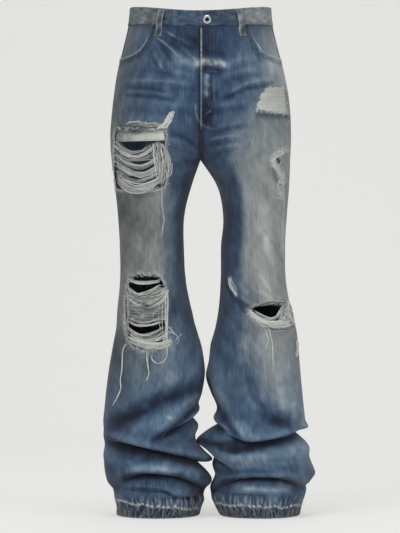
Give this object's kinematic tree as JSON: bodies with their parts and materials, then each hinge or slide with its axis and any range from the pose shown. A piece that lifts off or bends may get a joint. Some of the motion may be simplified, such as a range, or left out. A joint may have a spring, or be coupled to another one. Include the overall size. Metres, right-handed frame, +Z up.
{
  "type": "ripped flared jeans",
  "caption": "Worn flared jeans, hollow as if filled, with torn thigh and knees, frayed weft threads and long legs stacked in folds at raw hems.",
  "frame": {"origin": "middle of the waist opening, half way up the waistband", "axes": "+Z up through the waist, -Y the way the wearer faces, +X the wearer's left"},
  "size_m": [0.4374, 0.2584, 1.032],
  "materials": {
    "washed_denim": "washed indigo denim twill, matt",
    "faded_denim": "faded grey denim twill, matt",
    "pocket_cotton": "plain pocket cotton",
    "weft_yarn": "undyed cotton weft yarn",
    "button_metal": "worn silver metal"
  },
  "bodies": {
    "root": {"front_right": "washed_denim", "front_left": "washed_denim", "back_right": "washed_denim", "back_left": "washed_denim", "yoke_right": "washed_denim", "yoke_left": "washed_denim", "waistband": "faded_denim", "pocket_facing_right": "faded_denim", "pocket_facing_left": "faded_denim", "pocket_bag_right": "pocket_cotton", "pocket_bag_left": "pocket_cotton", "back_pocket_right": "washed_denim", "back_pocket_left": "washed_denim", "fly_facing": "washed_denim", "belt_loop_front_right": "faded_denim", "belt_loop_front_left": "faded_denim", "belt_loop_back_right": "washed_denim", "belt_loop_back_left": "washed_denim", "belt_loop_back_centre": "washed_denim", "weft_web_thigh": "weft_yarn", "weft_web_knee_right": "weft_yarn", "weft_web_knee_left": "weft_yarn", "waist_button": "button_metal"}
  },
  "joints": []
}
